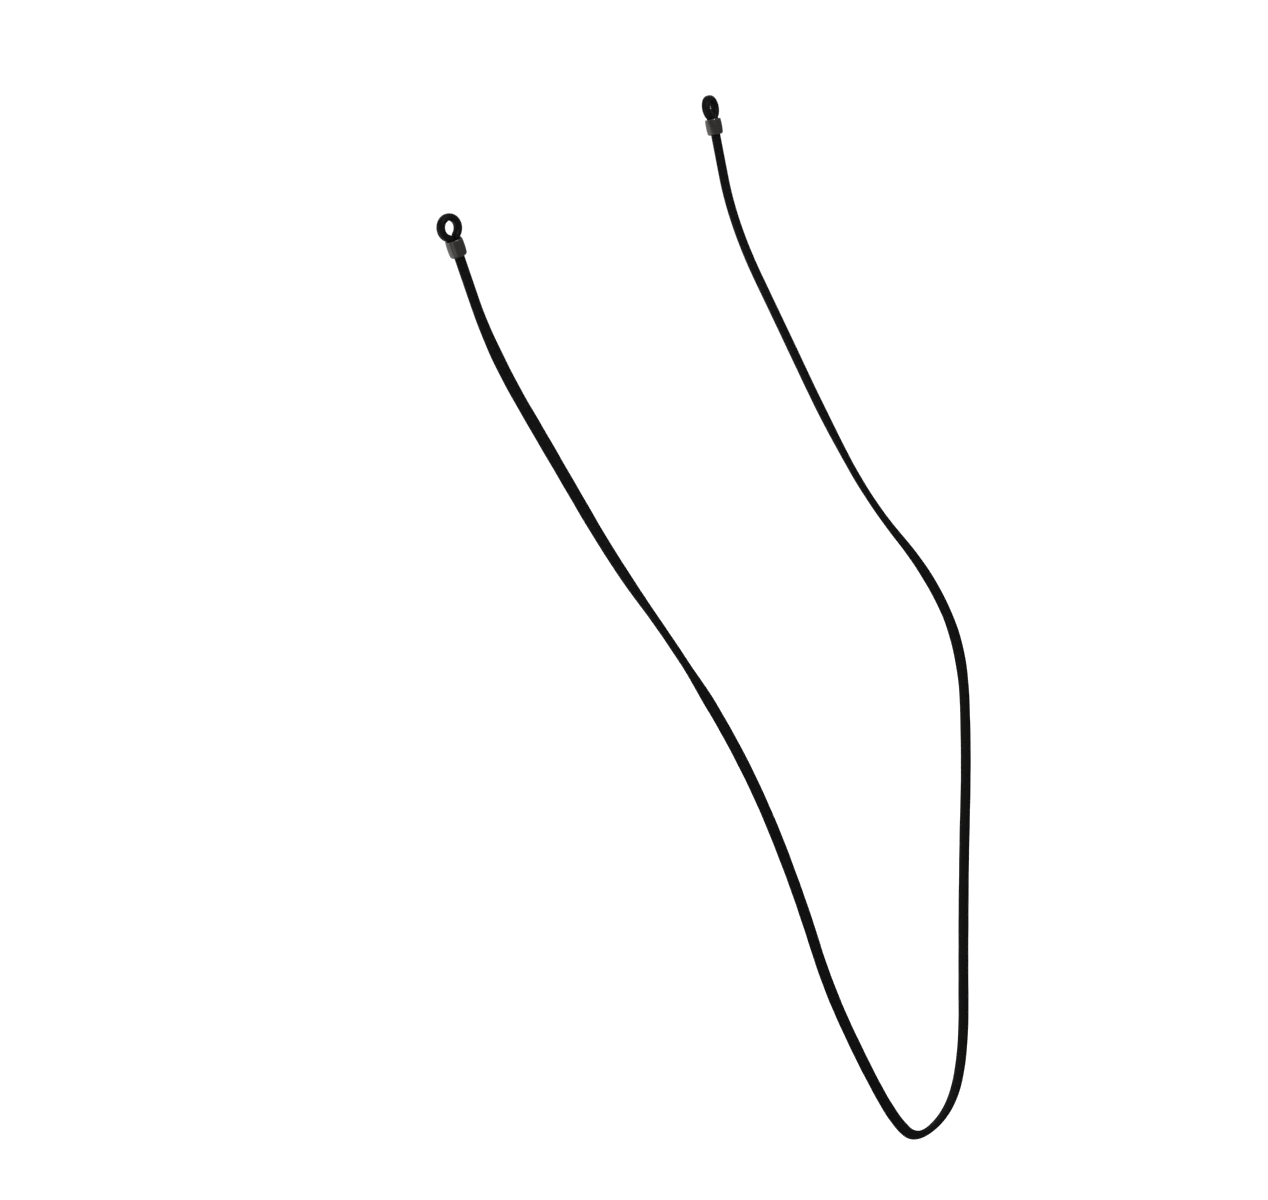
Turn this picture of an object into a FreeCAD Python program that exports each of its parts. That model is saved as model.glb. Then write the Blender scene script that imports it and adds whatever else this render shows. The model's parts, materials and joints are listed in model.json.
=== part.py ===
import FreeCAD, Part
import math
import os
import Sketcher
from FreeCAD import Vector

# Eyeglass retainer strap: one cord with an elastic loop at each end that goes over a spectacle
# temple. Each loop's neck is bonded round the cord's end, and a metal keeper ferrule covers the
# joint. The ferrule slides down the cord on a grip liner, which frees the legs of the loop.
#
# Millimetres, +Z up. The origin is the centre of the left loop's opening. +X points to the
# wearer's left and +Y backwards, along the temples.

DIMENSIONS = {
    # the cord
    "cord_diameter": 2.6,
    # the elastic loop, a moulded band with a stadium section
    "opening_width": 3.4,
    "strand_thickness": 1.8,
    "strand_width": 2.4,
    "leg_gap": 0.1,
    "flare_radius": 1.0,
    # the loop's neck and the metal sleeve on the cord's end, which is bonded into it
    "neck_recess": 0.4,
    "neck_wall": 0.3,
    "leg_cover": 0.02,
    "socket_roof": 0.4,
    "sleeve_wall": 0.15,
    "sleeve_length": 2.0,
    "bond_gap": 0.02,
    # the keeper ferrule and its grip liner
    "running_gap": 0.05,
    "flare_gap": 0.05,
    "stop_gap": 0.05,
    "liner_length": 1.0,
    "liner_seat_gap": 0.02,
    "grip_gap": 0.04,
    "lip_thickness": 0.45,
    "lip_gap": 0.25,
    "ferrule_wall": 0.22,
    "ferrule_crown": 0.08,
    "rim_round": 0.12,
    "base_round": 0.4,
    "ferrule_travel": 10.0,
    # degrees that each loop is turned about its neck, from square to the temple
    "left_loop_turn": -18.0,
    "right_loop_turn": 0.0,
}

# The strap's route, from the centre of the left loop's opening to that of the right one. The
# cord itself begins and ends inside the loops' necks, on the first and the last run.
ROUTE = [
    (0, 0, 0),
    (-4, 9, -31),
    (-6, 26, -58),
    (-8.5, 40.5, -82),
    (-9, 57.5, -102),
    (-10, 71.5, -122),
    (-12, 81.5, -142),
    (-17.5, 89, -168),
    (-26, 93, -195),
    (-36.5, 99, -221),
    (-47.5, 103.5, -242),
    (-60, 105, -254),
    (-80.5, 106, -254),
    (-94, 103.5, -243),
    (-103.5, 98.5, -221),
    (-113.5, 93.5, -195),
    (-122.5, 89.5, -168),
    (-130.5, 84, -141),
    (-131.5, 73, -121),
    (-131, 55, -103),
    (-133, 40, -82),
    (-134, 26.5, -59),
    (-136.5, 9, -31),
    (-140, 0, 0),
]
ARC_SHARE = 0.45  # of the shorter of two runs, which the arc between them takes up
LEAST_BEND = 5  # cord diameters: the tightest bend that the cord may take

# Sizes worked out from the sheet. Those from ring_radius on are in an end's own frame, where
# the opening's centre is the origin, and depths are measured from it along the neck.
RING_RADIUS = "((dims.opening_width + dims.strand_thickness) / 2)"
LEG_OFFSET = "((dims.strand_thickness + dims.leg_gap) / 2)"
FLARE_DEPTH = (
    f"sqrt(({RING_RADIUS} + dims.flare_radius)^2 - ({LEG_OFFSET} + dims.flare_radius)^2)"
)
FERRULE_TOP = f"({FLARE_DEPTH} + dims.flare_gap)"
NECK_TOP = f"({FERRULE_TOP} + dims.neck_recess)"
SOCKET_TOP = f"({NECK_TOP} + dims.socket_roof)"
CORD_TOP = f"({SOCKET_TOP} + dims.bond_gap)"
NECK_BOTTOM = f"({CORD_TOP} + dims.sleeve_length)"
LINER_TOP = f"({NECK_BOTTOM} + dims.stop_gap)"
LINER_BOTTOM = f"({LINER_TOP} + dims.liner_length)"
FERRULE_BOTTOM = f"({LINER_BOTTOM} + dims.lip_thickness)"
FERRULE_LENGTH = f"({FERRULE_BOTTOM} - {FERRULE_TOP})"
LEG_END = f"({NECK_TOP} + dims.socket_roof / 2)"

CORD_RADIUS = "(dims.cord_diameter / 2)"
SLEEVE_BORE = f"({CORD_RADIUS} + dims.bond_gap)"
SLEEVE_RADIUS = f"({SLEEVE_BORE} + dims.sleeve_wall)"
SOCKET_RADIUS = f"({SLEEVE_RADIUS} + dims.bond_gap)"
BAND_STRAIGHT = "((dims.strand_width - dims.strand_thickness) / 2)"
LEGS_REACH = f"(sqrt({LEG_OFFSET}^2 + {BAND_STRAIGHT}^2) + dims.strand_thickness / 2)"
NECK_RADIUS = f"max({SOCKET_RADIUS} + dims.neck_wall; {LEGS_REACH} + dims.leg_cover)"
FERRULE_BORE = f"({NECK_RADIUS} + dims.running_gap)"
FERRULE_RADIUS = f"({FERRULE_BORE} + dims.ferrule_wall)"
LINER_BORE = f"({CORD_RADIUS} + dims.grip_gap)"
LINER_RADIUS = f"({FERRULE_BORE} - dims.liner_seat_gap)"
LIP_BORE = f"({CORD_RADIUS} + dims.lip_gap)"
RIM_ROUND = "min(dims.rim_round; dims.ferrule_wall * 0.45)"
BASE_ROUND = f"min(dims.base_round; ({FERRULE_RADIUS} - {LIP_BORE} - {RIM_ROUND}) * 0.95)"
CROWN_RADIUS = f"(({FERRULE_LENGTH}^2 / 4 + dims.ferrule_crown^2) / (2 * dims.ferrule_crown))"

ORIGIN = (-1, 1)  # a sketch's own origin, as (geometry, point)
START, END, MIDDLE = 1, 2, 3
TOUCH = 1e-3  # places nearer than this are the same


def make_sheet(doc):
    """The driving dimensions, each a plain number with an alias."""
    sheet = doc.addObject("Spreadsheet::Sheet", "dims")
    for row, (alias, value) in enumerate(DIMENSIONS.items(), start=1):
        sheet.set(f"A{row}", alias)
        sheet.set(f"B{row}", str(value))
        sheet.setAlias(f"B{row}", alias)
    doc.recompute()
    return sheet


def size(expression):
    """What an expression on the sheet comes to, in millimetres."""
    return float(doc.getObject("dims").evalExpression(expression))


def end_placement(centre, towards, turn):
    """An end's own frame: +Z up the neck, +Y through the opening, at the opening's centre."""
    up = (centre - towards).normalize()
    back = Vector(0, 1, 0)
    through = (back - up * back.dot(up)).normalize()
    square = FreeCAD.Rotation(through.cross(up), through, up, "ZXY")
    return FreeCAD.Placement(centre, square * FreeCAD.Rotation(Vector(0, 0, 1), turn))


def make_body(label, placement):
    body = doc.addObject("PartDesign::Body", label)
    body.Label = label
    body.Placement = placement
    return body


def sketch_on(body, role, name):
    """An empty sketch on one of the body's own origin planes."""
    sketch = body.newObject("Sketcher::SketchObject", name)
    plane = next(f for f in body.Origin.OriginFeatures if f.Role == role)
    sketch.AttachmentSupport = (plane, "")
    sketch.MapMode = "FlatFace"
    return sketch


def hold(sketch, kind, where, expression):
    """A dimension of the sketch, tied to an expression on the sheet."""
    index = sketch.addConstraint(Sketcher.Constraint(kind, *where, size(expression)))
    sketch.setExpression(f"Constraints[{index}]", expression)


def join(sketch, kind, *where):
    sketch.addConstraint(Sketcher.Constraint(kind, *where))


def draw_outline(sketch, corners):
    """A closed outline of straight lines through corners, each (radius, depth) as expressions,
    with every corner held at its place."""
    places = [Vector(size(r), -size(d), 0) for r, d in corners]
    count = len(places)
    for k, place in enumerate(places):
        sketch.addGeometry(Part.LineSegment(place, places[(k + 1) % count]))
    for k, (radius, depth) in enumerate(corners):
        join(sketch, "Coincident", k, END, (k + 1) % count, START)
        hold(sketch, "DistanceX", (*ORIGIN, k, START), radius)
        hold(sketch, "DistanceY", (k, START, *ORIGIN), depth)


def revolve(body, sketch, name):
    """A full turn of the sketch about the end's own +Z."""
    feature = body.newObject("PartDesign::Revolution", name)
    feature.Profile = sketch
    feature.ReferenceAxis = (sketch, ["V_Axis"])
    feature.Angle = 360
    return feature


def make_ring(label, placement, bore, radius, top, bottom):
    """A plain tube about the neck's axis."""
    body = make_body(label, placement)
    sketch = sketch_on(body, "XZ_Plane", f"{label}_outline")
    draw_outline(sketch, [(bore, top), (radius, top), (radius, bottom), (bore, bottom)])
    revolve(body, sketch, f"{label}_turn")
    return body


def draw_loop_path(sketch):
    """The band's centre line: a leg, a flare, round the opening, a flare and a leg."""
    ring, flare = size(RING_RADIUS), size("dims.flare_radius")
    leg, depth, end = size(LEG_OFFSET), size(FLARE_DEPTH), size(LEG_END)
    low = math.atan2(-depth, leg + flare)  # from the opening's centre to the right flare's
    axis = Vector(0, 0, 1)

    def arc(x, y, radius, first, last):
        circle = Part.Circle(Vector(x, y, 0), axis, radius)
        return Part.ArcOfCircle(circle, first, last)

    right_leg, right_flare, round_opening, left_flare, left_leg = range(5)
    sketch.addGeometry(Part.LineSegment(Vector(leg, -end, 0), Vector(leg, -depth, 0)))
    sketch.addGeometry(arc(leg + flare, -depth, flare, low + math.pi, math.pi))
    sketch.addGeometry(arc(0, 0, ring, low, math.pi - low))
    sketch.addGeometry(arc(-leg - flare, -depth, flare, 0, -low))
    sketch.addGeometry(Part.LineSegment(Vector(-leg, -depth, 0), Vector(-leg, -end, 0)))

    join(sketch, "Coincident", round_opening, MIDDLE, *ORIGIN)
    join(sketch, "Tangent", right_leg, END, right_flare, END)
    join(sketch, "Tangent", right_flare, START, round_opening, START)
    join(sketch, "Tangent", round_opening, END, left_flare, END)
    join(sketch, "Tangent", left_flare, START, left_leg, START)
    join(sketch, "Vertical", right_leg)
    join(sketch, "Vertical", left_leg)
    hold(sketch, "Radius", (round_opening,), RING_RADIUS)
    hold(sketch, "Radius", (right_flare,), "dims.flare_radius")
    hold(sketch, "Radius", (left_flare,), "dims.flare_radius")
    hold(sketch, "DistanceX", (*ORIGIN, right_leg, START), LEG_OFFSET)
    hold(sketch, "DistanceX", (left_leg, END, *ORIGIN), LEG_OFFSET)
    hold(sketch, "DistanceY", (right_leg, START, *ORIGIN), LEG_END)
    hold(sketch, "DistanceY", (left_leg, END, *ORIGIN), LEG_END)


def draw_band_section(sketch):
    """A stadium about the right leg's centre line, its long side along the temple."""
    sketch.AttachmentOffset = FreeCAD.Placement(Vector(0, 0, -size(LEG_END)), FreeCAD.Rotation())
    sketch.setExpression("AttachmentOffset.Base.z", f"-{LEG_END}")
    middle, half = size(LEG_OFFSET), size("dims.strand_thickness / 2")
    up = size(BAND_STRAIGHT)
    axis = Vector(0, 0, 1)
    top = Part.Circle(Vector(middle, up, 0), axis, half)
    bottom = Part.Circle(Vector(middle, -up, 0), axis, half)
    right, over, left, under = range(4)
    sketch.addGeometry(
        Part.LineSegment(Vector(middle + half, -up, 0), Vector(middle + half, up, 0))
    )
    sketch.addGeometry(Part.ArcOfCircle(top, 0, math.pi))
    sketch.addGeometry(
        Part.LineSegment(Vector(middle - half, up, 0), Vector(middle - half, -up, 0))
    )
    sketch.addGeometry(Part.ArcOfCircle(bottom, math.pi, 2 * math.pi))
    join(sketch, "Tangent", right, END, over, START)
    join(sketch, "Tangent", over, END, left, START)
    join(sketch, "Tangent", left, END, under, START)
    join(sketch, "Tangent", under, END, right, START)
    join(sketch, "Vertical", right)
    hold(sketch, "Radius", (over,), "dims.strand_thickness / 2")
    hold(sketch, "DistanceX", (*ORIGIN, over, MIDDLE), LEG_OFFSET)
    hold(sketch, "DistanceY", (*ORIGIN, over, MIDDLE), BAND_STRAIGHT)
    hold(sketch, "DistanceY", (under, MIDDLE, *ORIGIN), BAND_STRAIGHT)


def make_loop(label, placement):
    """The moulded band round the temple, with a neck that has a socket for the cord's end."""
    body = make_body(label, placement)
    path = sketch_on(body, "XZ_Plane", f"{label}_path")
    draw_loop_path(path)
    section = sketch_on(body, "XY_Plane", f"{label}_section")
    draw_band_section(section)
    doc.recompute()
    band = body.newObject("PartDesign::AdditivePipe", f"{label}_band")
    band.Profile = section
    band.Spine = (path, [f"Edge{k + 1}" for k in range(5)])
    doc.recompute()
    neck = sketch_on(body, "XZ_Plane", f"{label}_neck_outline")
    draw_outline(
        neck,
        [
            ("0", NECK_TOP),
            (NECK_RADIUS, NECK_TOP),
            (NECK_RADIUS, NECK_BOTTOM),
            (SOCKET_RADIUS, NECK_BOTTOM),
            (SOCKET_RADIUS, SOCKET_TOP),
            ("0", SOCKET_TOP),
        ],
    )
    revolve(body, neck, f"{label}_neck")
    return body


def make_ferrule(label, placement):
    """A crowned metal barrel, open at the top and turned in to a lip under the liner."""
    body = make_body(label, placement)
    sketch = sketch_on(body, "XZ_Plane", f"{label}_outline")
    bore, outer, lip = size(FERRULE_BORE), size(FERRULE_RADIUS), size(LIP_BORE)
    top, bottom, seat = -size(FERRULE_TOP), -size(FERRULE_BOTTOM), -size(LINER_BOTTOM)
    bulge = Vector(outer + size("dims.ferrule_crown"), (top + bottom) / 2, 0)
    upper, lower = Vector(outer, top, 0), Vector(outer, bottom, 0)
    crown, base, lip_edge, shelf, wall, rim = range(6)
    sketch.addGeometry(Part.Arc(lower, bulge, upper))
    corners = [lower, Vector(lip, bottom, 0), Vector(lip, seat, 0), Vector(bore, seat, 0)]
    corners += [Vector(bore, top, 0), upper]
    for first, last in zip(corners, corners[1:]):
        sketch.addGeometry(Part.LineSegment(first, last))
    join(sketch, "Coincident", crown, START, base, START)
    for line in (base, lip_edge, shelf, wall):
        join(sketch, "Coincident", line, END, line + 1, START)
    join(sketch, "Coincident", rim, END, crown, END)
    for line in (base, shelf, rim):
        join(sketch, "Horizontal", line)
    for line in (lip_edge, wall):
        join(sketch, "Vertical", line)
    hold(sketch, "DistanceX", (*ORIGIN, lip_edge, START), LIP_BORE)
    hold(sketch, "DistanceX", (*ORIGIN, wall, START), FERRULE_BORE)
    hold(sketch, "DistanceX", (*ORIGIN, crown, START), FERRULE_RADIUS)
    hold(sketch, "DistanceX", (*ORIGIN, crown, END), FERRULE_RADIUS)
    hold(sketch, "DistanceY", (rim, START, *ORIGIN), FERRULE_TOP)
    hold(sketch, "DistanceY", (shelf, START, *ORIGIN), LINER_BOTTOM)
    hold(sketch, "DistanceY", (base, START, *ORIGIN), FERRULE_BOTTOM)
    hold(sketch, "Radius", (crown,), CROWN_RADIUS)
    turned = revolve(body, sketch, f"{label}_turn")
    doc.recompute()
    rims = [(FERRULE_TOP, FERRULE_RADIUS), (FERRULE_TOP, FERRULE_BORE), (FERRULE_BOTTOM, LIP_BORE)]
    rounds = round_rims(body, turned, f"{label}_rims", rims)
    rounds.setExpression("Radius", RIM_ROUND)
    doc.recompute()
    base = round_rims(body, rounds, f"{label}_base", [(FERRULE_BOTTOM, FERRULE_RADIUS)])
    base.setExpression("Radius", BASE_ROUND)
    return body


def round_rims(body, feature, name, rims):
    """A fillet on the feature's circular edges, each given as (depth, radius)."""
    wanted = [(-size(depth), size(radius)) for depth, radius in rims]
    names = []
    for k, edge in enumerate(feature.Shape.Edges, start=1):
        box = edge.BoundBox
        for z, radius in wanted:
            same = abs(box.ZMin - z) + abs(box.ZMax - z) + abs(box.XMax - radius)
            if same < TOUCH:
                names.append(f"Edge{k}")
    fillet = body.newObject("PartDesign::Fillet", name)
    fillet.Base = (feature, names)
    return fillet


def cord_points():
    """The cord's own points: the route, cut back to where the cord starts in each neck."""
    points = [Vector(*p) for p in ROUTE]
    depth = size(CORD_TOP)
    first = points[0] + (points[1] - points[0]).normalize() * depth
    last = points[-1] + (points[-2] - points[-1]).normalize() * depth
    return [first] + points[1:-1] + [last]


def cord_path(points):
    """Straight runs joined by tangent arcs, and the arcs' radii."""
    edges, radii, start = [], [], points[0]
    for before, corner, after in zip(points, points[1:], points[2:]):
        back, ahead = before - corner, after - corner
        cut = ARC_SHARE * min(back.Length, ahead.Length)
        back.normalize()
        ahead.normalize()
        half_turn = (math.pi - back.getAngle(ahead)) / 2
        radius = cut / math.tan(half_turn)
        enter, leave = corner + back * cut, corner + ahead * cut
        inward = (back + ahead).normalize()
        middle = corner + inward * (radius / math.cos(half_turn) - radius)
        edges.append(Part.LineSegment(start, enter).toShape())
        edges.append(Part.Arc(enter, middle, leave).toShape())
        radii.append(radius)
        start = leave
    edges.append(Part.LineSegment(start, points[-1]).toShape())
    return Part.Wire(edges), radii


def make_cord(label):
    """The strap's cord, a round tube swept along its route."""
    points = cord_points()
    wire, radii = cord_path(points)
    path = doc.addObject("Part::Feature", f"{label}_path")
    path.Shape = wire
    section = doc.addObject("Part::Circle", f"{label}_section")
    section.setExpression("Radius", CORD_RADIUS)
    along = points[1] - points[0]
    section.Placement = FreeCAD.Placement(points[0], FreeCAD.Rotation(Vector(0, 0, 1), along))
    doc.recompute()
    cord = doc.addObject("Part::Sweep", label)
    cord.Label = label
    cord.Sections = [section]
    cord.Spine = (path, [f"Edge{k + 1}" for k in range(len(wire.Edges))])
    cord.Solid = True
    cord.Frenet = False
    doc.recompute()
    expected = math.pi * size(CORD_RADIUS) ** 2 * wire.Length
    print(f"cord: {wire.Length:.1f} mm long, {len(points)} points")
    print("arc radii, mm:", " ".join(f"{r:.0f}" for r in radii))
    print(f"volume {cord.Shape.Volume:.2f}, section times length {expected:.2f} cubic mm")
    if min(radii) < LEAST_BEND * size("dims.cord_diameter"):
        print("the cord bends more tightly than it should")
    return cord


def make_end(side, centre, towards):
    """A loop, the sleeve on the cord's end, and the keeper ferrule with its liner."""
    place = end_placement(centre, towards, size(f"dims.{side}_loop_turn"))
    down = (towards - centre).normalize()
    straight = (1 - ARC_SHARE) * ((towards - centre).Length - size(CORD_TOP))
    used = size(FERRULE_BOTTOM) - size(CORD_TOP) + size("dims.ferrule_travel")
    print(f"{side} ferrule slides along ({down.x:.5f}, {down.y:.5f}, {down.z:.5f})")
    print(f"{side} end: the cord is straight for {straight:.1f} mm, the ferrule uses {used:.1f}")
    return [
        make_loop(f"{side}_temple_loop", place),
        make_ring(
            f"{side}_cord_end_sleeve", place, SLEEVE_BORE, SLEEVE_RADIUS, CORD_TOP, NECK_BOTTOM
        ),
        make_ferrule(f"{side}_keeper_ferrule", place),
        make_ring(
            f"{side}_grip_liner", place, LINER_BORE, LINER_RADIUS, LINER_TOP, LINER_BOTTOM
        ),
    ]


def check_and_export(parts):
    """Stops unless every object is sound, then writes one file for each part."""
    for item in doc.Objects:
        if {"Invalid", "Error"} & set(item.State):
            raise RuntimeError(f"{item.Label} did not compute: {item.State}")
    for item in parts:
        if item.Shape.isNull() or not item.Shape.isValid() or len(item.Shape.Solids) != 1:
            raise RuntimeError(f"{item.Label} is not one valid solid")
    os.makedirs("parts", exist_ok=True)
    for item in parts:
        item.Shape.exportStep(f"parts/{item.Label}.step")
        box = item.Shape.BoundBox
        print(
            f"{item.Label}: {item.Shape.Volume:.3f} cubic mm, "
            f"{box.XLength:.2f} x {box.YLength:.2f} x {box.ZLength:.2f} mm"
        )


doc = FreeCAD.newDocument("eyeglass_strap")
make_sheet(doc)
strap = [make_cord("strap_cord")]
strap += make_end("left", Vector(*ROUTE[0]), Vector(*ROUTE[1]))
strap += make_end("right", Vector(*ROUTE[-1]), Vector(*ROUTE[-2]))
doc.recompute()
check_and_export(strap)
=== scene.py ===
import json
import math

import bmesh
import bpy
from mathutils import Matrix, Vector


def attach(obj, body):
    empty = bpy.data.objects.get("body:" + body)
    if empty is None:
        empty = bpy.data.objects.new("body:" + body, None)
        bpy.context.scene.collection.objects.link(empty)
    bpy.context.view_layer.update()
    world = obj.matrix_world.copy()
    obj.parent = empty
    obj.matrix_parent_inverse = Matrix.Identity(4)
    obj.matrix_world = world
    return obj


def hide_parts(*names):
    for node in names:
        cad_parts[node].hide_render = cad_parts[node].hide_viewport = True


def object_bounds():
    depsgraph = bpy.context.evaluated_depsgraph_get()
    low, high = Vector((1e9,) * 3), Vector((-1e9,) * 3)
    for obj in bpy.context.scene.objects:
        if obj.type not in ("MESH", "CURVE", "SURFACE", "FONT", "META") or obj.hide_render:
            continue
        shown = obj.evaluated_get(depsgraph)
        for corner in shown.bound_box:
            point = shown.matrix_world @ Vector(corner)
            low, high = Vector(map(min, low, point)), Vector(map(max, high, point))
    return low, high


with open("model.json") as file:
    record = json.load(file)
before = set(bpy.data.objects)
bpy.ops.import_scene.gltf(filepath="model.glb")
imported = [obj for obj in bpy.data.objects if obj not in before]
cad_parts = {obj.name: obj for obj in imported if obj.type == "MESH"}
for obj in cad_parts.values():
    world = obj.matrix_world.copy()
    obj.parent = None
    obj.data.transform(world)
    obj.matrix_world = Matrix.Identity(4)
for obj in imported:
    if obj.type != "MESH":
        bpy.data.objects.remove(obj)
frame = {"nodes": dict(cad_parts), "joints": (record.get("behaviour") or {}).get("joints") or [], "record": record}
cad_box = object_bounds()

MM = 0.001
SIDES = ("left", "right")

# ---------------------------------------------------------------- the cord's sizes
# The strap's route, from the centre of the left loop's opening to that of the right one.
# Its inner points were fitted by a program, not chosen by hand.
ROUTE = [
    (0.0000, 0.0000, 0.000),
    (-0.0040, 0.0090, -0.031),
    (-0.0060, 0.0260, -0.058),
    (-0.0085, 0.0405, -0.082),
    (-0.0090, 0.0575, -0.102),
    (-0.0100, 0.0715, -0.122),
    (-0.0120, 0.0815, -0.142),
    (-0.0175, 0.0890, -0.168),
    (-0.0260, 0.0930, -0.195),
    (-0.0365, 0.0990, -0.221),
    (-0.0475, 0.1035, -0.242),
    (-0.0600, 0.1050, -0.254),
    (-0.0805, 0.1060, -0.254),
    (-0.0940, 0.1035, -0.243),
    (-0.1035, 0.0985, -0.221),
    (-0.1135, 0.0935, -0.195),
    (-0.1225, 0.0895, -0.168),
    (-0.1305, 0.0840, -0.141),
    (-0.1315, 0.0730, -0.121),
    (-0.1310, 0.0550, -0.103),
    (-0.1330, 0.0400, -0.082),
    (-0.1340, 0.0265, -0.059),
    (-0.1365, 0.0090, -0.031),
    (-0.1400, 0.0000, 0.000),
]
STEPS_PER_POINT = 56
CORD_SIDES = 32

# The cord is round where the ferrules run, and a flattened oval elsewhere.
END_RADIUS = 1.30 * MM
WIDE_RADIUS = 1.53 * MM
THIN_RADIUS = 1.03 * MM
ROUND_END = 15 * MM
OVAL_FROM = 34 * MM
SWELL = 0.02  # how unevenly the leather was rolled, as a share of its thickness
SWELL_LENGTHS = (9.1 * MM, 23.7 * MM)

# How the oval turns about the cord: (share of the length, degrees). The angles were picked
# from a program's output.
TWIST = [
    (0.00, 53),
    (0.10, 53),
    (0.145, 84),
    (0.193, 144),
    (0.222, 205),
    (0.37, 209),
    (0.44, 206),
    (0.565, 263),
    (0.705, 263),
    (0.755, 326),
    (0.815, 388),
    (0.86, 432),
    (1.00, 428),
]

# ---------------------------------------------------------------- the ends' sizes
SEAT_GAP = 0.02 * MM  # between the liner and the ferrule's bore
RIM_HEIGHT = 0.17 * MM  # the rounded rim at the ferrule's mouth
RIM_INNER = 0.05 * MM
BASE_HEIGHT = 0.74 * MM  # the rounding above the ferrule's base
BASE_FLAT = 0.06 * MM  # the flat of the base, outside the lip's own rounding
LIP_ROUND = 0.08 * MM
CROWN = 0.08 * MM
FERRULE_SIDES = 96
BARREL_STEPS = 14
MERGE = 0.002 * MM  # vertices nearer than this are one

LEG_GAP = 0.1 * MM  # between the loop's two legs
FLARE_RADIUS = 1.0 * MM
LEG_SUNK = 0.2 * MM  # how far the legs go into the neck's roof
PARTING_LINE = 0.035 * MM  # how proud the mould's line stands
BAND_SIDES = 24
FLAT_CUTS = 9
RING_STEPS = 72
FLARE_STEPS = 10
NECK_SIDES = 72
NECK_EDGE = 0.1 * MM  # the easing of the neck's edges
NECK_POLE = 0.02 * MM  # the small ring that closes each flat of the neck
SOCKET_ROOF = 0.4 * MM
BOND_GAP = 0.02 * MM  # round and above the sleeve in its socket
SLIVER = 0.008 * MM  # faces thinner than this go when two solids are joined

# ---------------------------------------------------------------- the studio's sizes
CAMERA_AIM = Vector((-0.0583, 0.0196, -0.113))
CAMERA_AZIMUTH = 117.93
CAMERA_ELEVATION = 21.28
CAMERA_DISTANCE = 0.940
CAMERA_LENS = 101.0

FLOOR_DROP = 0.09  # from the lowest point of the cord to the floor
FLOOR_SIZE = 40
FLOOR_MIDDLE = (-0.07, 0.05)
SKY_STRENGTH = 1.1
SKY_IN_METAL = 0.17  # the sky's strength in reflections

# Each lamp: (name, azimuth, elevation, distance, (width, height), radiance).
LAMPS_MIDDLE = Vector((-0.07, 0.03, -0.06))
LAMPS = [
    ("overhead", 120, 80, 1.6, (2.2, 2.2), 0.45),
    ("left_card", 12, -26, 0.45, (1.0, 0.5), 0.62),
    ("half_card", 92, -16, 0.5, (0.26, 0.34), 0.26),
    ("back_card", 300, 22, 0.8, (1.2, 0.5), 0.8),
    ("key", 140, 62, 0.7, (0.15, 0.15), 17.0),
]
UNREFLECTED = "overhead"


# ---------------------------------------------------------------- camera, floor and light
def make_camera():
    """Looks down past the wearer's left shoulder, from behind."""
    azimuth, elevation = math.radians(CAMERA_AZIMUTH), math.radians(CAMERA_ELEVATION)
    ahead = Vector((-math.sin(azimuth), math.cos(azimuth), -math.tan(elevation))).normalized()
    data = bpy.data.cameras.new("camera")
    data.lens = CAMERA_LENS
    camera = bpy.data.objects.new("camera", data)
    camera.location = CAMERA_AIM - ahead * CAMERA_DISTANCE
    camera.rotation_euler = ahead.to_track_quat("-Z", "Y").to_euler()
    bpy.context.scene.collection.objects.link(camera)
    bpy.context.scene.camera = camera


def make_lamp(name, azimuth, elevation, distance, size, radiance):
    """A soft rectangular lamp that faces the strap, seen in reflections but not by the camera.
    At azimuth 0 it stands where a viewer who looks along +Y would, and at 90 on the +X side."""
    turn, rise = math.radians(azimuth), math.radians(elevation)
    away = Vector(
        (math.sin(turn) * math.cos(rise), -math.cos(turn) * math.cos(rise), math.sin(rise))
    )
    data = bpy.data.lights.new(name, "AREA")
    data.shape = "RECTANGLE"
    data.size, data.size_y = size
    data.energy = radiance * math.pi * size[0] * size[1]
    lamp = bpy.data.objects.new(name, data)
    lamp.location = LAMPS_MIDDLE + away * distance
    lamp.rotation_euler = (-away).to_track_quat("-Z", "Y").to_euler()
    lamp.visible_camera = False
    lamp.visible_glossy = name != UNREFLECTED
    bpy.context.scene.collection.objects.link(lamp)


def make_sky():
    """An even white sky, which polished metal sees as a dim grey."""
    world = bpy.data.worlds.new("studio")
    world.use_nodes = True
    tree = world.node_tree
    background = tree.nodes["Background"]
    background.inputs["Color"].default_value = (1.0, 1.0, 1.0, 1.0)
    rays = tree.nodes.new("ShaderNodeLightPath")
    strength = tree.nodes.new("ShaderNodeMapRange")
    strength.inputs["To Min"].default_value = SKY_STRENGTH
    strength.inputs["To Max"].default_value = SKY_IN_METAL
    tree.links.new(rays.outputs["Is Glossy Ray"], strength.inputs["Value"])
    tree.links.new(strength.outputs["Result"], background.inputs["Strength"])
    bpy.context.scene.world = world


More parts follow.
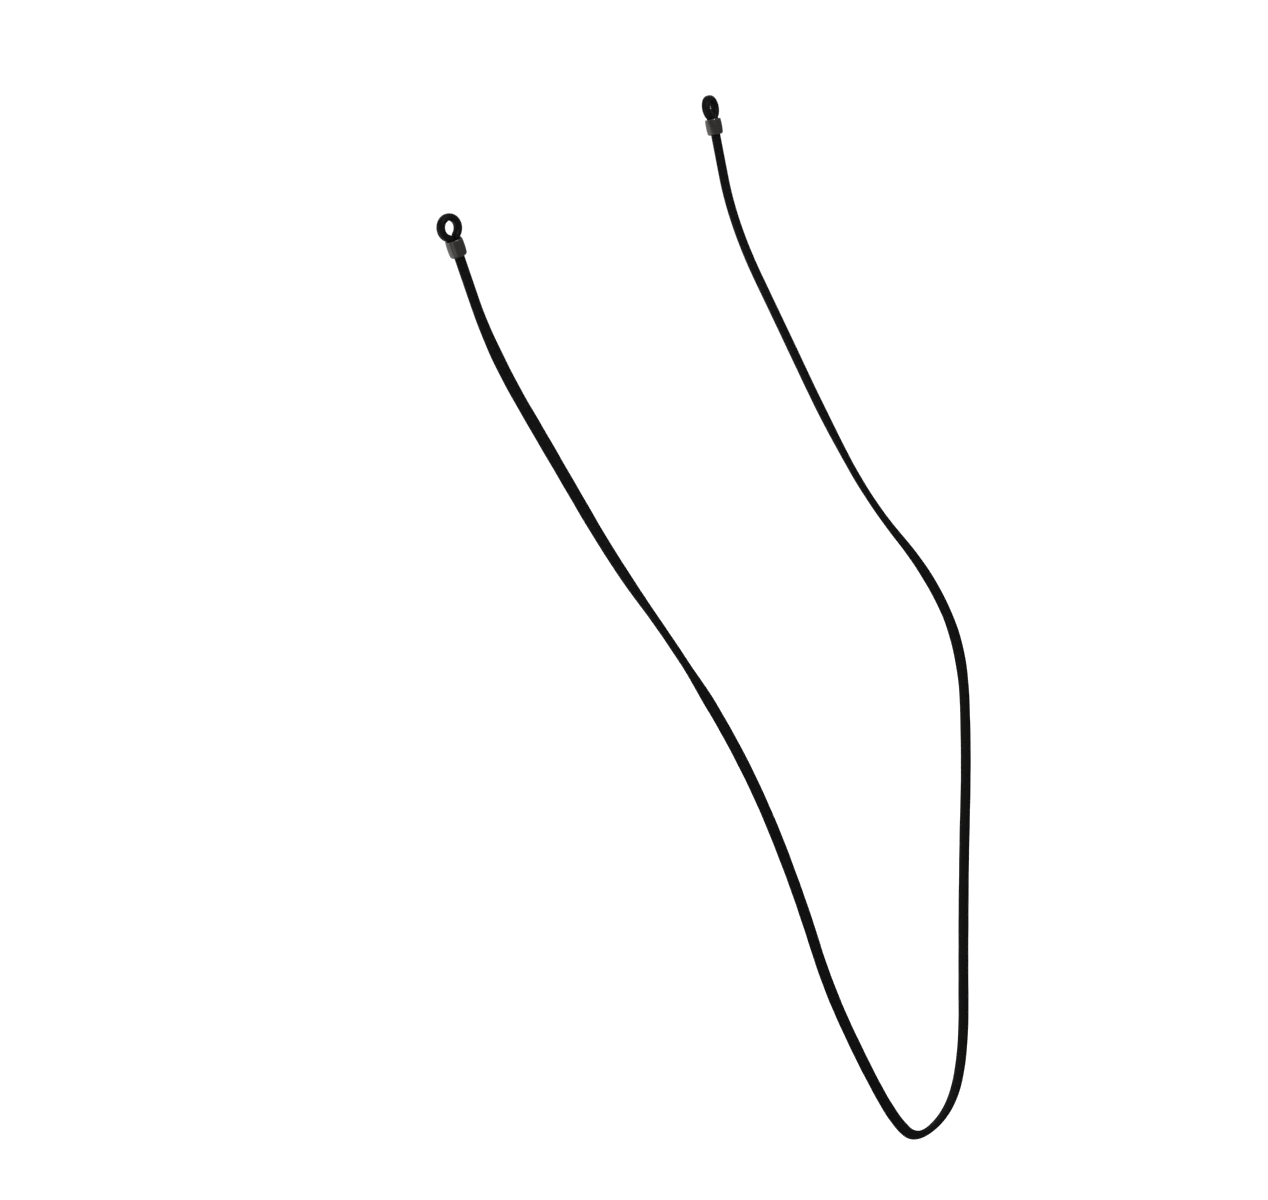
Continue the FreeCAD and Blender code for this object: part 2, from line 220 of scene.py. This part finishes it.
def make_studio():
    """A pale floor well under the cord, an even sky and soft lamps."""
    deselect()
    low = cad_box[0].z - FLOOR_DROP
    bpy.ops.mesh.primitive_plane_add(size=FLOOR_SIZE, location=(*FLOOR_MIDDLE, low))
    floor = bpy.context.object
    floor.name = "floor"
    floor.data.materials.append(floor_finish())
    floor.visible_glossy = False
    make_sky()
    for lamp in LAMPS:
        make_lamp(*lamp)
    bpy.context.scene.view_settings.view_transform = "Standard"


# ---------------------------------------------------------------- modelling helpers
def deselect():
    if bpy.context.object and bpy.context.object.mode != "OBJECT":
        bpy.ops.object.mode_set(mode="OBJECT")
    bpy.ops.object.select_all(action="DESELECT")


def link_mesh(name, mesh):
    piece = bpy.data.objects.new(name, mesh)
    bpy.context.scene.collection.objects.link(piece)
    return piece


def start_circle(name, sides, radius, place):
    """A circle about an upright axis, at its place, all selected in edit mode."""
    deselect()
    bpy.ops.mesh.primitive_circle_add(vertices=sides, radius=radius, location=place)
    piece = bpy.context.object
    piece.name = piece.data.name = name
    bpy.ops.object.transform_apply(location=True, rotation=True, scale=True)
    bpy.ops.object.mode_set(mode="EDIT")
    bpy.ops.mesh.select_all(action="SELECT")
    return piece


def draw_out(rise):
    """Extrudes what is selected upwards."""
    bpy.ops.mesh.extrude_region_move(TRANSFORM_OT_translate={"value": (0.0, 0.0, rise)})


def close_up(piece):
    """Merges doubles, fills what is open and points the faces outwards."""
    bpy.ops.mesh.select_all(action="SELECT")
    bpy.ops.mesh.remove_doubles(threshold=MERGE)
    bpy.ops.mesh.fill_holes(sides=0)
    bpy.ops.mesh.select_all(action="SELECT")
    bpy.ops.mesh.normals_make_consistent(inside=False)
    bpy.ops.object.mode_set(mode="OBJECT")
    return piece


def turn_piece(name, outline, sides):
    """A circle drawn out and resized from ring to ring along an outline of (radius, depth)."""
    radius, depth = outline[0]
    piece = start_circle(name, sides, radius, (0.0, 0.0, -depth))
    for next_radius, next_depth in outline[1:]:
        draw_out(depth - next_depth)
        scale = next_radius / radius
        bpy.ops.transform.resize(
            value=(scale, scale, 1.0), center_override=(0.0, 0.0, -next_depth)
        )
        radius, depth = next_radius, next_depth
    return close_up(piece)


def arc(centre, radii, start, stop, steps):
    """Points along an arc of an outline. Degrees, 0 outwards and 90 up the neck."""
    points = []
    for k in range(steps + 1):
        angle = math.radians(start + (stop - start) * k / steps)
        points.append(
            (centre[0] + radii[0] * math.cos(angle), centre[1] - radii[1] * math.sin(angle))
        )
    return points


def settle(piece, place, body, material, smooth=35):
    """Puts a finished piece in its place in the row frame, with its body and its finish."""
    deselect()
    piece.data.transform(place)
    piece.select_set(True)
    bpy.context.view_layer.objects.active = piece
    bpy.ops.object.shade_smooth_by_angle(angle=math.radians(smooth))
    piece.data.materials.clear()
    piece.data.materials.append(material)
    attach(piece, body)


# ---------------------------------------------------------------- materials
def new_finish(name):
    """A node material, with its tree and its shader."""
    material = bpy.data.materials.new(name)
    material.use_nodes = True
    tree = material.node_tree
    return material, tree, tree.nodes["Principled BSDF"]


def object_place(tree, place=None):
    """Object coordinates, turned into an end's own frame where one is given."""
    coordinates = tree.nodes.new("ShaderNodeTexCoord").outputs["Object"]
    if place is None:
        return coordinates
    mapping = tree.nodes.new("ShaderNodeMapping")
    mapping.vector_type = "TEXTURE"
    mapping.inputs["Location"].default_value = place.to_translation()
    mapping.inputs["Rotation"].default_value = place.to_euler()
    tree.links.new(coordinates, mapping.inputs["Vector"])
    return mapping.outputs["Vector"]


def stretched(tree, vector, scale):
    mapping = tree.nodes.new("ShaderNodeMapping")
    mapping.inputs["Scale"].default_value = scale
    tree.links.new(vector, mapping.inputs["Vector"])
    return mapping.outputs["Vector"]


def noise(tree, vector, scale, detail=3.0, distortion=0.0):
    node = tree.nodes.new("ShaderNodeTexNoise")
    node.inputs["Scale"].default_value = scale
    node.inputs["Detail"].default_value = detail
    node.inputs["Distortion"].default_value = distortion
    tree.links.new(vector, node.inputs["Vector"])
    return node.outputs["Fac"]


def cells(tree, vector, scale, feature="DISTANCE_TO_EDGE"):
    node = tree.nodes.new("ShaderNodeTexVoronoi")
    node.feature = feature
    node.inputs["Scale"].default_value = scale
    tree.links.new(vector, node.inputs["Vector"])
    return node.outputs["Distance"]


def spread(tree, value, low, high, to_low, to_high):
    """The value's range from low to high, stretched to another range and clamped."""
    node = tree.nodes.new("ShaderNodeMapRange")
    node.inputs["From Min"].default_value = low
    node.inputs["From Max"].default_value = high
    node.inputs["To Min"].default_value = to_low
    node.inputs["To Max"].default_value = to_high
    tree.links.new(value, node.inputs["Value"])
    return node.outputs["Result"]


def combine(tree, operation, first, second):
    node = tree.nodes.new("ShaderNodeMath")
    node.operation = operation
    for socket, value in zip(node.inputs, (first, second)):
        if isinstance(value, (int, float)):
            socket.default_value = value
        else:
            tree.links.new(value, socket)
    return node.outputs["Value"]


def blend_colours(tree, share, first, second):
    """A colour between two, each a linear colour or another node's output."""
    node = tree.nodes.new("ShaderNodeMix")
    node.data_type = "RGBA"
    tree.links.new(share, node.inputs["Factor"])
    for socket, colour in ((node.inputs[6], first), (node.inputs[7], second)):
        if isinstance(colour, tuple):
            socket.default_value = (*colour, 1.0)
        else:
            tree.links.new(colour, socket)
    return node.outputs[2]


def add_bumps(tree, shader, *layers):
    """Bump layers on the shader, each (height, distance in metres, strength)."""
    below = None
    for height, distance, strength in layers:
        bump = tree.nodes.new("ShaderNodeBump")
        bump.inputs["Distance"].default_value = distance
        bump.inputs["Strength"].default_value = strength
        tree.links.new(height, bump.inputs["Height"])
        if below is not None:
            tree.links.new(below, bump.inputs["Normal"])
        below = bump.outputs["Normal"]
    tree.links.new(below, shader.inputs["Normal"])


def floor_finish():
    material, _, shader = new_finish("floor_paper")
    shader.inputs["Base Color"].default_value = (0.95, 0.95, 0.95, 1.0)
    shader.inputs["Roughness"].default_value = 0.9
    shader.inputs["Specular IOR Level"].default_value = 0.0
    return material


def cord_finish():
    """Matt black leather: fine pores, creases that run along the cord, and dry patches."""
    material, tree, shader = new_finish("cord_leather")
    wrap = tree.nodes.new("ShaderNodeUVMap")
    wrap.uv_map = "around_and_along"
    surface = object_place(tree)
    patches = noise(tree, surface, 260.0, detail=4.0)
    creases = noise(tree, stretched(tree, wrap.outputs["UV"], (5200.0, 1100.0, 1.0)), 1.0, 4.0, 0.6)
    pores = cells(tree, surface, 3400.0)
    black = blend_colours(tree, patches, (0.0010, 0.0016, 0.0010), (0.0034, 0.0042, 0.0033))
    worn = spread(tree, creases, 0.54, 0.72, 0.0, 0.5)
    colour = blend_colours(tree, worn, black, (0.0125, 0.0132, 0.0122))
    tree.links.new(colour, shader.inputs["Base Color"])
    tree.links.new(spread(tree, patches, 0.3, 0.7, 0.56, 0.80), shader.inputs["Roughness"])
    shader.inputs["Specular IOR Level"].default_value = 0.11
    pits = spread(tree, pores, 0.0, 0.12, 0.0, 1.0)
    add_bumps(tree, shader, (creases, 0.10 * MM, 0.7), (pits, 0.03 * MM, 0.5))
    return material


def rubber_finish():
    """Moulded black elastomer with a faint bloom and a satin skin."""
    material, tree, shader = new_finish("loop_rubber")
    surface = object_place(tree)
    bloom = noise(tree, surface, 900.0, detail=5.0)
    specks = noise(tree, surface, 9000.0, detail=2.0)
    colour = blend_colours(tree, bloom, (0.0014, 0.0015, 0.0014), (0.0036, 0.0037, 0.0036))
    dusty = spread(tree, specks, 0.66, 0.78, 0.0, 0.5)
    colour = blend_colours(tree, dusty, colour, (0.010, 0.010, 0.0095))
    tree.links.new(colour, shader.inputs["Base Color"])
    tree.links.new(spread(tree, bloom, 0.3, 0.7, 0.42, 0.60), shader.inputs["Roughness"])
    shader.inputs["Specular IOR Level"].default_value = 0.17
    add_bumps(tree, shader, (bloom, 0.02 * MM, 0.4), (specks, 0.006 * MM, 0.5))
    return material


def gunmetal_finish(side, place, top, bottom):
    """Dark plated metal: turning marks round the barrel, fine scratches and rubbed rims."""
    material, tree, shader = new_finish(f"ferrule_gunmetal_{side}")
    local = object_place(tree, place)
    split = tree.nodes.new("ShaderNodeSeparateXYZ")
    tree.links.new(local, split.inputs["Vector"])
    haze = noise(tree, local, 700.0, detail=4.0)
    turning = noise(tree, stretched(tree, local, (400.0, 400.0, 26000.0)), 1.0, detail=2.0)
    scratches = noise(tree, stretched(tree, local, (9000.0, 9000.0, 1300.0)), 1.0, 3.0, 0.8)
    middle, half = -(top + bottom) / 2, (bottom - top) / 2
    off_middle = combine(tree, "ABSOLUTE", combine(tree, "SUBTRACT", split.outputs["Z"], middle), 0)
    rims = spread(tree, off_middle, half * 0.84, half * 1.0, 0.0, 1.0)
    rubbed = combine(tree, "MULTIPLY", rims, spread(tree, haze, 0.35, 0.65, 0.25, 1.0))
    plate = blend_colours(tree, haze, (0.138, 0.131, 0.127), (0.188, 0.181, 0.177))
    colour = blend_colours(tree, rubbed, plate, (0.40, 0.39, 0.37))
    tree.links.new(colour, shader.inputs["Base Color"])
    marks = spread(tree, turning, 0.35, 0.65, 0.0, 0.07)
    scuffs = spread(tree, scratches, 0.60, 0.75, 0.0, 0.12)
    rough = combine(tree, "ADD", combine(tree, "ADD", marks, scuffs), 0.23)
    tree.links.new(rough, shader.inputs["Roughness"])
    shader.inputs["Metallic"].default_value = 1.0
    add_bumps(tree, shader, (turning, 0.0012 * MM, 0.35), (scratches, 0.001 * MM, 0.25))
    return material


def brass_finish():
    """Bare turned brass, a little tarnished."""
    material, tree, shader = new_finish("sleeve_brass")
    surface = object_place(tree)
    tarnish = noise(tree, surface, 1800.0, detail=4.0)
    colour = blend_colours(tree, tarnish, (0.58, 0.42, 0.18), (0.76, 0.60, 0.31))
    tree.links.new(colour, shader.inputs["Base Color"])
    tree.links.new(spread(tree, tarnish, 0.3, 0.7, 0.24, 0.42), shader.inputs["Roughness"])
    shader.inputs["Metallic"].default_value = 1.0
    add_bumps(tree, shader, (tarnish, 0.004 * MM, 0.3))
    return material


def silicone_finish():
    """Soft dark silicone with a dull skin."""
    material, tree, shader = new_finish("liner_silicone")
    surface = object_place(tree)
    dust = noise(tree, surface, 2400.0, detail=3.0)
    colour = blend_colours(tree, dust, (0.034, 0.034, 0.036), (0.060, 0.060, 0.063))
    tree.links.new(colour, shader.inputs["Base Color"])
    tree.links.new(spread(tree, dust, 0.3, 0.7, 0.50, 0.72), shader.inputs["Roughness"])
    add_bumps(tree, shader, (dust, 0.01 * MM, 0.3))
    return material


def finish_node(name, material):
    """Gives a CAD node its finish."""
    slots = frame["nodes"][name].data.materials
    for k in range(len(slots)):
        slots[k] = material


# ---------------------------------------------------------------- the ends, as CAD has them
def end_place(side):
    """An end's own frame: +Z up the neck and +Y through the loop, at the opening's centre."""
    mount = next(m for m in frame["record"]["mounts"] if m["name"] == f"{side}_temple_loop")
    slide = next(j for j in frame["joints"] if j["name"] == f"{side}_ferrule_slide")
    up = -Vector(slide["axis"]).normalized()
    hole = Vector(mount["axis"])
    through = (hole - up * hole.dot(up)).normalized()
    turn = Matrix((through.cross(up), through, up)).transposed()
    return Matrix.Translation(mount["pos_m"]) @ turn.to_4x4()


def local_points(node, place):
    """A node's vertices in its end's own frame."""
    back = place.inverted()
    return [back @ vertex.co for vertex in frame["nodes"][node].data.vertices]


def turned_size(points):
    """The least and the greatest radius about the neck's axis, and the top's and base's depth."""
    radii = [math.hypot(p.x, p.y) for p in points]
    depths = [-p.z for p in points]
    return min(radii), max(radii), min(depths), max(depths)


# ---------------------------------------------------------------- the cord
def sleeve_depths(side, place):
    """How deep in the end's own frame the sleeve starts and stops, as the neck and cord do."""
    return turned_size(local_points(f"{side}_cord_end_sleeve", place))[2:]


def cord_points(places):
    """The route's points, cut back to where the cord starts in each neck. A second point at
    the neck's base keeps the cord straight where the ferrule runs."""
    ends = {
        side: [place @ Vector((0.0, 0.0, -depth)) for depth in sleeve_depths(side, place)]
        for side, place in places.items()
    }
    middle = [Vector(point) for point in ROUTE[1:-1]]
    return ends["left"] + middle + ends["right"][::-1]


def smooth_line(points):
    """Points along the smooth curve that the route's points control."""
    curve = bpy.data.curves.new("cord_line", "CURVE")
    curve.dimensions = "3D"
    curve.resolution_u = STEPS_PER_POINT
    spline = curve.splines.new("NURBS")
    spline.points.add(len(points) - 1)
    for knot, point in zip(spline.points, points):
        knot.co = (*point, 1.0)
    spline.order_u = 3
    spline.use_endpoint_u = True
    holder = bpy.data.objects.new("cord_line", curve)
    mesh = bpy.data.meshes.new_from_object(holder)
    line = [vertex.co.copy() for vertex in mesh.vertices]
    bpy.data.objects.remove(holder)
    bpy.data.curves.remove(curve)
    bpy.data.meshes.remove(mesh)
    return line


def ease(share):
    """0 to 1, slow at both ends."""
    share = min(max(share, 0.0), 1.0)
    return share * share * (3.0 - 2.0 * share)


def twist_at(share):
    """The oval's turn in radians, eased from one key to the next."""
    for (low, start), (high, stop) in zip(TWIST, TWIST[1:]):
        if share <= high:
            return math.radians(start + (stop - start) * ease((share - low) / (high - low)))
    return math.radians(TWIST[-1][1])


def oval_radii(travelled, total):
    """The cord's wide and thin radius at a distance along it."""
    from_end = min(travelled, total - travelled)
    flat = ease((from_end - ROUND_END) / (OVAL_FROM - ROUND_END))
    waves = sum(math.sin(2 * math.pi * travelled / length) for length in SWELL_LENGTHS)
    swell = 1.0 + SWELL * flat * waves / len(SWELL_LENGTHS)
    wide = END_RADIUS + (WIDE_RADIUS - END_RADIUS) * flat
    thin = END_RADIUS + (THIN_RADIUS - END_RADIUS) * flat
    return wide * swell, thin / swell


def make_cord(places):
    """A mesh tube of an oval section along the route's smooth line, wrapped with a UV map in
    metres."""
    line = smooth_line(cord_points(places))
    travelled = [0.0]
    for before, after in zip(line, line[1:]):
        travelled.append(travelled[-1] + (after - before).length)
    back = Vector((0.0, 1.0, 0.0))
    last = len(line) - 1
    verts = []
    for k, centre in enumerate(line):
        along = (line[min(k + 1, last)] - line[max(k - 1, 0)]).normalized()
        across = along.cross(back).normalized()
        over = along.cross(across)
        turn = twist_at(travelled[k] / travelled[-1])
        wide, thin = oval_radii(travelled[k], travelled[-1])
        long_axis = across * math.cos(turn) + over * math.sin(turn)
        short_axis = along.cross(long_axis)
        for side in range(CORD_SIDES):
            angle = 2 * math.pi * side / CORD_SIDES
            verts.append(
                centre + long_axis * wide * math.cos(angle) + short_axis * thin * math.sin(angle)
            )
    faces, wraps = [], []
    width = 2 * math.pi * END_RADIUS / CORD_SIDES
    for ring in range(last):
        for side in range(CORD_SIDES):
            a = ring * CORD_SIDES + side
            b = ring * CORD_SIDES + (side + 1) % CORD_SIDES
            faces.append((a, b, b + CORD_SIDES, a + CORD_SIDES))
            low, high = travelled[ring], travelled[ring + 1]
            left, right = side * width, (side + 1) * width
            wraps += [(left, low), (right, low), (right, high), (left, high)]
    faces.append(tuple(reversed(range(CORD_SIDES))))
    faces.append(tuple(range(last * CORD_SIDES, (last + 1) * CORD_SIDES)))
    wraps += [(0.0, 0.0)] * (2 * CORD_SIDES)
    mesh = bpy.data.meshes.new("cord")
    mesh.from_pydata(verts, [], faces)
    layer = mesh.uv_layers.new(name="around_and_along")
    for corner, wrap in zip(layer.data, wraps):
        corner.uv = wrap
    for polygon in mesh.polygons:
        polygon.use_smooth = len(polygon.vertices) == 4
    mesh.update()
    cord = link_mesh("cord", mesh)
    mesh.materials.append(cord_finish())
    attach(cord, "strap")
    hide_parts("strap_cord")


# ---------------------------------------------------------------- the keeper ferrules
def make_ferrule(side, place):
    """A crowned barrel with a rolled rim, a rounded base and a lip that holds the liner."""
    lip, widest, top, bottom = turned_size(local_points(f"{side}_keeper_ferrule", place))
    liner = turned_size(local_points(f"{side}_grip_liner", place))
    bore, shelf = liner[1] + SEAT_GAP, liner[3]
    outer = widest - CROWN
    rim_middle = (bore + RIM_INNER + outer) / 2
    barrel_top, barrel_bottom = top + RIM_HEIGHT, bottom - BASE_HEIGHT
    outline = [(bore, shelf), (bore, (shelf + top) / 2), (bore, top + RIM_INNER)]
    outline += arc((bore + RIM_INNER, top + RIM_INNER), (RIM_INNER, RIM_INNER), 180, 90, 4)[1:]
    outline += arc((rim_middle, barrel_top), (outer - rim_middle, RIM_HEIGHT), 90, 0, 7)
    for k in range(1, BARREL_STEPS):
        share = k / BARREL_STEPS
        bulge = CROWN * (1 - (2 * share - 1) ** 2)
        outline.append((outer + bulge, barrel_top + (barrel_bottom - barrel_top) * share))
    corner = outer - (lip + LIP_ROUND + BASE_FLAT)
    outline += arc((outer - corner, barrel_bottom), (corner, BASE_HEIGHT), 0, -90, 10)
    outline += arc((lip + LIP_ROUND, bottom - LIP_ROUND), (LIP_ROUND, LIP_ROUND), -90, -180, 4)
    outline += [(lip, shelf), (bore, shelf)]
    ferrule = turn_piece(f"{side}_ferrule", outline, FERRULE_SIDES)
    finish = gunmetal_finish(side, place, top, bottom)
    settle(ferrule, place, f"{side}_keeper", finish)
    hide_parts(f"{side}_keeper_ferrule")


# ---------------------------------------------------------------- the temple loops
def select_where(test):
    """Selects the vertices whose place passes the test, in edit mode."""
    mesh = bmesh.from_edit_mesh(bpy.context.object.data)
    for vertex in mesh.verts:
        vertex.select = test(vertex.co)
    mesh.select_flush_mode()
    bmesh.update_edit_mesh(bpy.context.object.data)


def bend(centre, degrees, steps):
    """Spins what is selected about an axis through the loop, from +X towards +Z."""
    bpy.ops.mesh.spin(
        steps=steps, angle=math.radians(degrees), center=centre, axis=(0.0, 1.0, 0.0)
    )


def make_band(name, opening, thickness, width, leg_end):
    """The loop's band: a stadium with a mould's line down each flat side, drawn up a leg, over
    a flare, round the opening and down again."""
    ring, leg = opening + thickness / 2, (thickness + LEG_GAP) / 2
    flare = leg + FLARE_RADIUS
    depth = math.sqrt((ring + FLARE_RADIUS) ** 2 - flare**2)
    flare_turn = 90 - math.degrees(math.atan2(flare, depth))
    piece = start_circle(name, BAND_SIDES, thickness / 2, (0.0, 0.0, 0.0))
    half_step = math.pi / BAND_SIDES
    bpy.ops.transform.rotate(value=half_step, orient_axis="Z", center_override=(0.0, 0.0, 0.0))
    straight = (width - thickness) / 2
    select_where(lambda p: p.y > 0)
    bpy.ops.transform.translate(value=(0.0, straight, 0.0))
    select_where(lambda p: p.y < 0)
    bpy.ops.transform.translate(value=(0.0, -straight, 0.0))
    flat = thickness / 2 * math.cos(half_step) * 0.999
    select_where(lambda p: abs(p.x) > flat)
    bpy.ops.mesh.subdivide(number_cuts=FLAT_CUTS)
    for way in (-1, 1):
        select_where(lambda p: way * p.x > flat and abs(p.y) < 0.01 * MM)
        bpy.ops.transform.translate(value=(way * PARTING_LINE, 0.0, 0.0))
    bpy.ops.mesh.select_all(action="SELECT")
    bpy.ops.transform.translate(value=(leg, 0.0, -leg_end))
    draw_out(leg_end - depth)
    bend((flare, 0.0, -depth), -flare_turn, FLARE_STEPS)
    bend((0.0, 0.0, 0.0), 180 + 2 * flare_turn, RING_STEPS)
    bend((-flare, 0.0, -depth), -flare_turn, FLARE_STEPS)
    draw_out(depth - leg_end)
    return close_up(piece)


def make_neck(name, radius, socket, top, roof, bottom):
    """The loop's neck: a cup with eased edges, whose socket takes the sleeve on the cord."""
    outline = [(NECK_POLE, roof), (socket, roof), (socket, bottom - NECK_EDGE / 2)]
    outline += [(socket + NECK_EDGE / 2, bottom)]
    corner = radius - NECK_EDGE
    outline += arc((corner, bottom - NECK_EDGE), (NECK_EDGE, NECK_EDGE), -90, 0, 5)
    outline += arc((corner, top + NECK_EDGE), (NECK_EDGE, NECK_EDGE), 0, 90, 5)
    outline += [(NECK_POLE, top)]
    return turn_piece(name, outline, NECK_SIDES)


def clean_join():
    """Removes the slivers that a join leaves, and cuts the rest into triangles. The result
    isn't quite the same each run."""
    bpy.ops.object.mode_set(mode="EDIT")
    bpy.ops.mesh.select_all(action="SELECT")
    bpy.ops.mesh.remove_doubles(threshold=SLIVER)
    bpy.ops.mesh.quads_convert_to_tris(quad_method="BEAUTY", ngon_method="BEAUTY")
    bpy.ops.mesh.dissolve_degenerate(threshold=SLIVER)
    bpy.ops.object.mode_set(mode="OBJECT")


def join_solids(first, second):
    """Joins the second solid to the first, which keeps its name."""
    deselect()
    first.select_set(True)
    bpy.context.view_layer.objects.active = first
    bpy.ops.object.modifier_add(type="BOOLEAN")
    union = first.modifiers[-1]
    union.operation = "UNION"
    union.solver = "EXACT"
    union.object = second
    bpy.ops.object.modifier_apply(modifier=union.name)
    bpy.data.objects.remove(second)
    clean_join()
    return first


def make_loop(side, place, finish):
    """The band and the neck, joined, in the sizes that the CAD loop has."""
    node = f"{side}_temple_loop"
    points = local_points(node, place)
    above = [p for p in points if p.z > 0]
    rings = [math.hypot(p.x, p.z) for p in above]
    opening, outside = min(rings), max(rings)
    width = max(p.y for p in above) - min(p.y for p in above)
    sleeve = turned_size(local_points(f"{side}_cord_end_sleeve", place))[1]
    cord_top, bottom = sleeve_depths(side, place)
    radius = max(math.hypot(p.x, p.y) for p in points if -p.z > cord_top)
    roof = cord_top - BOND_GAP
    top = roof - SOCKET_ROOF
    band = make_band(f"{side}_loop", opening, outside - opening, width, top + LEG_SUNK)
    neck = make_neck(f"{side}_neck", radius, sleeve + BOND_GAP, top, roof, bottom)
    loop = join_solids(band, neck)
    settle(loop, place, "strap", finish)
    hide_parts(node)


# ---------------------------------------------------------------- the scene
end_places = {side: end_place(side) for side in SIDES}
make_camera()
make_cord(end_places)
rubber, brass, silicone = rubber_finish(), brass_finish(), silicone_finish()
for side in SIDES:
    make_loop(side, end_places[side], rubber)
    make_ferrule(side, end_places[side])
    finish_node(f"{side}_cord_end_sleeve", brass)
    finish_node(f"{side}_grip_liner", silicone)
make_studio()
